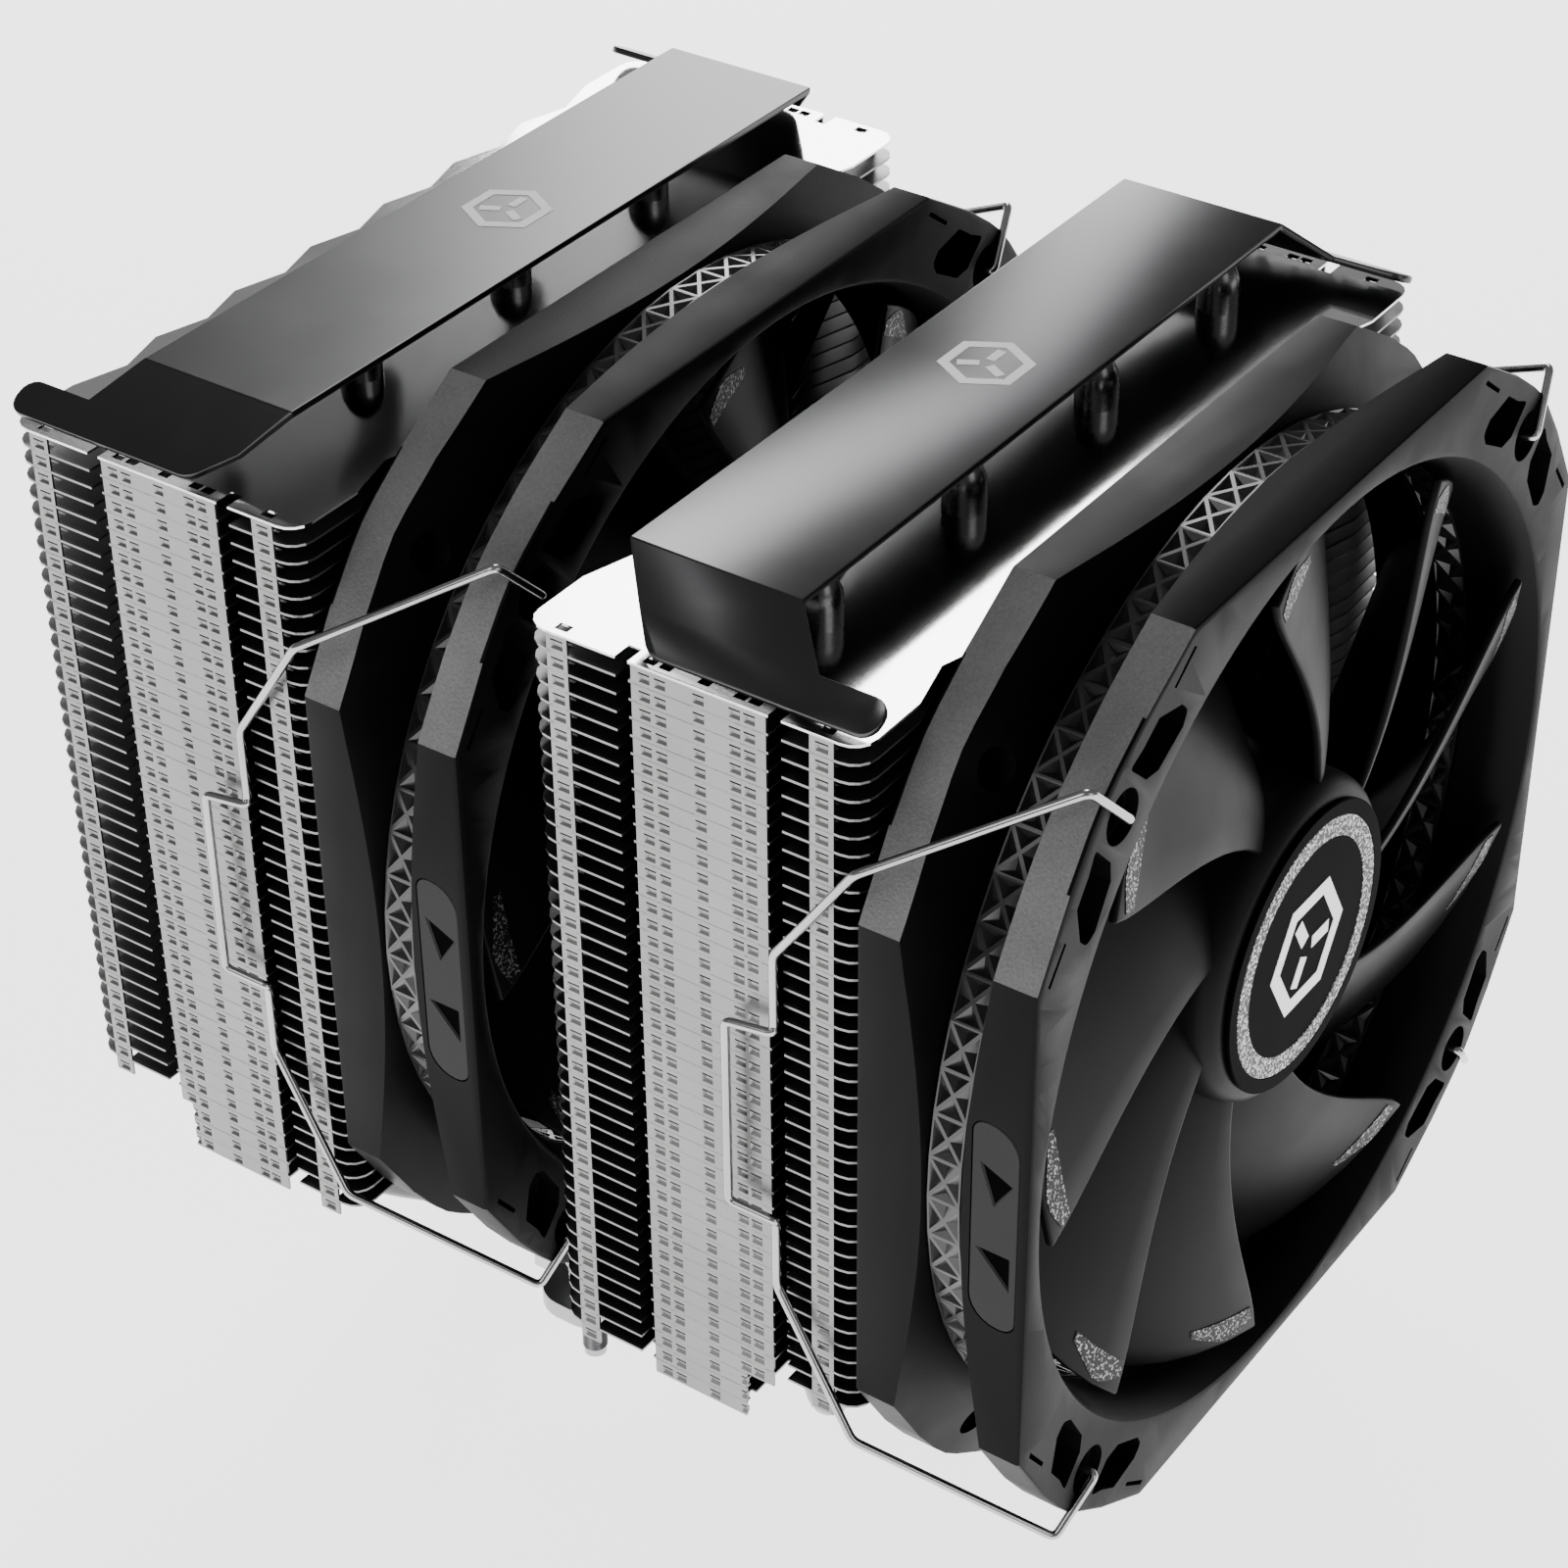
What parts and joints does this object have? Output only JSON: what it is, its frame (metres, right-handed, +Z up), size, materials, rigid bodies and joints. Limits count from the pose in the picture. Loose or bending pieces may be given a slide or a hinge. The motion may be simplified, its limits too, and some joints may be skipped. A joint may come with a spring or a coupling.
{
  "type": "cpu tower cooler",
  "caption": "Air cooler for a processor: a plated base, U-shaped heat pipes, paired fin towers with folded covers, axial fans that spin and wire clips that swing off.",
  "frame": {"origin": "centre of the base's contact face", "axes": "+Z up the towers, +Y the way the air leaves, +X across the fin stacks"},
  "size_m": [0.1438, 0.1624, 0.1651],
  "materials": {
    "fan_frame_plastic": "moulded black plastic with a fine grain",
    "fan_blade_plastic": "satin dark grey plastic",
    "textured_plastic": "black plastic with moulded pyramids",
    "inlay_plastic": "smooth dark grey plastic",
    "badge_black": "glossy black disc with a silver ring",
    "cover_metal": "satin black nickel or paint on folded sheet",
    "fin_nickel": "bright nickel plating on aluminium sheet",
    "pipe_nickel": "nickel plating on copper pipe",
    "base_nickel": "nickel plating on copper",
    "bar_steel": "plated steel bar",
    "wire_steel": "drawn spring steel wire",
    "stator_copper": "wound copper and laminations",
    "sleeve_brass": "brass bearing sleeve"
  },
  "bodies": {
    "root": {"base_plate": "base_nickel", "base_cap": "fin_nickel", "mounting_crossbar": "bar_steel", "left_screw_spring": "wire_steel", "right_screw_spring": "wire_steel", "heat_pipe_1": "pipe_nickel", "heat_pipe_2": "pipe_nickel", "heat_pipe_3": "pipe_nickel", "heat_pipe_4": "pipe_nickel", "heat_pipe_5": "pipe_nickel", "heat_pipe_6": "pipe_nickel", "heat_pipe_7": "pipe_nickel", "front_fin_stack": "fin_nickel", "front_top_cover": "cover_metal", "rear_fin_stack": "fin_nickel", "rear_top_cover": "cover_metal", "front_fan_frame": "fan_frame_plastic", "front_fan_textured_band": "textured_plastic", "front_fan_left_inlay": "inlay_plastic", "front_fan_right_inlay": "inlay_plastic", "front_fan_bearing_sleeve": "sleeve_brass", "front_fan_stator": "stator_copper", "middle_fan_frame": "fan_frame_plastic", "middle_fan_textured_band": "textured_plastic", "middle_fan_left_inlay": "inlay_plastic", "middle_fan_right_inlay": "inlay_plastic", "middle_fan_bearing_sleeve": "sleeve_brass", "middle_fan_stator": "stator_copper"},
    "left_screw": {"left_captive_screw": "bar_steel"},
    "right_screw": {"right_captive_screw": "bar_steel"},
    "front_fan_impeller": {"front_fan_rotor": "fan_blade_plastic", "front_fan_hub_badge": "badge_black", "front_fan_shaft": "wire_steel"},
    "front_fan_left_clip_body": {"front_fan_left_clip": "wire_steel"},
    "front_fan_right_clip_body": {"front_fan_right_clip": "wire_steel"},
    "middle_fan_impeller": {"middle_fan_rotor": "fan_blade_plastic", "middle_fan_hub_badge": "badge_black", "middle_fan_shaft": "wire_steel"},
    "middle_fan_left_clip_body": {"middle_fan_left_clip": "wire_steel"},
    "middle_fan_right_clip_body": {"middle_fan_right_clip": "wire_steel"}
  },
  "joints": [
    {"name": "front_fan_spin", "type": "hinge", "parent": "root", "child": "front_fan_impeller", "pos_m": [0, -0.0925, 0.095], "axis": [0, -1, 0], "continuous": true},
    {"name": "front_fan_left_clip_swing", "type": "hinge", "parent": "root", "child": "front_fan_left_clip_body", "pos_m": [-0.0525, -0.0925, 0.095], "axis": [0, 0, 1], "range_deg": [0, 70], "stiffness_Nm_per_rad": 0.02},
    {"name": "front_fan_right_clip_swing", "type": "hinge", "parent": "root", "child": "front_fan_right_clip_body", "pos_m": [0.0525, -0.0925, 0.095], "axis": [0, 0, -1], "range_deg": [0, 70], "stiffness_Nm_per_rad": 0.02},
    {"name": "middle_fan_spin", "type": "hinge", "parent": "root", "child": "middle_fan_impeller", "pos_m": [0, -0.0075, 0.095], "axis": [0, -1, 0], "continuous": true},
    {"name": "middle_fan_left_clip_swing", "type": "hinge", "parent": "root", "child": "middle_fan_left_clip_body", "pos_m": [-0.0525, -0.0075, 0.095], "axis": [0, 0, 1], "range_deg": [0, 70], "stiffness_Nm_per_rad": 0.02},
    {"name": "middle_fan_right_clip_swing", "type": "hinge", "parent": "root", "child": "middle_fan_right_clip_body", "pos_m": [0.0525, -0.0075, 0.095], "axis": [0, 0, -1], "range_deg": [0, 70], "stiffness_Nm_per_rad": 0.02},
    {"name": "left_captive_screw_turn", "type": "hinge", "parent": "root", "child": "left_screw", "pos_m": [-0.039, 0, 0.012], "axis": [0, 0, 1], "continuous": true},
    {"name": "right_captive_screw_turn", "type": "hinge", "parent": "root", "child": "right_screw", "pos_m": [0.039, 0, 0.012], "axis": [0, 0, 1], "continuous": true}
  ]
}
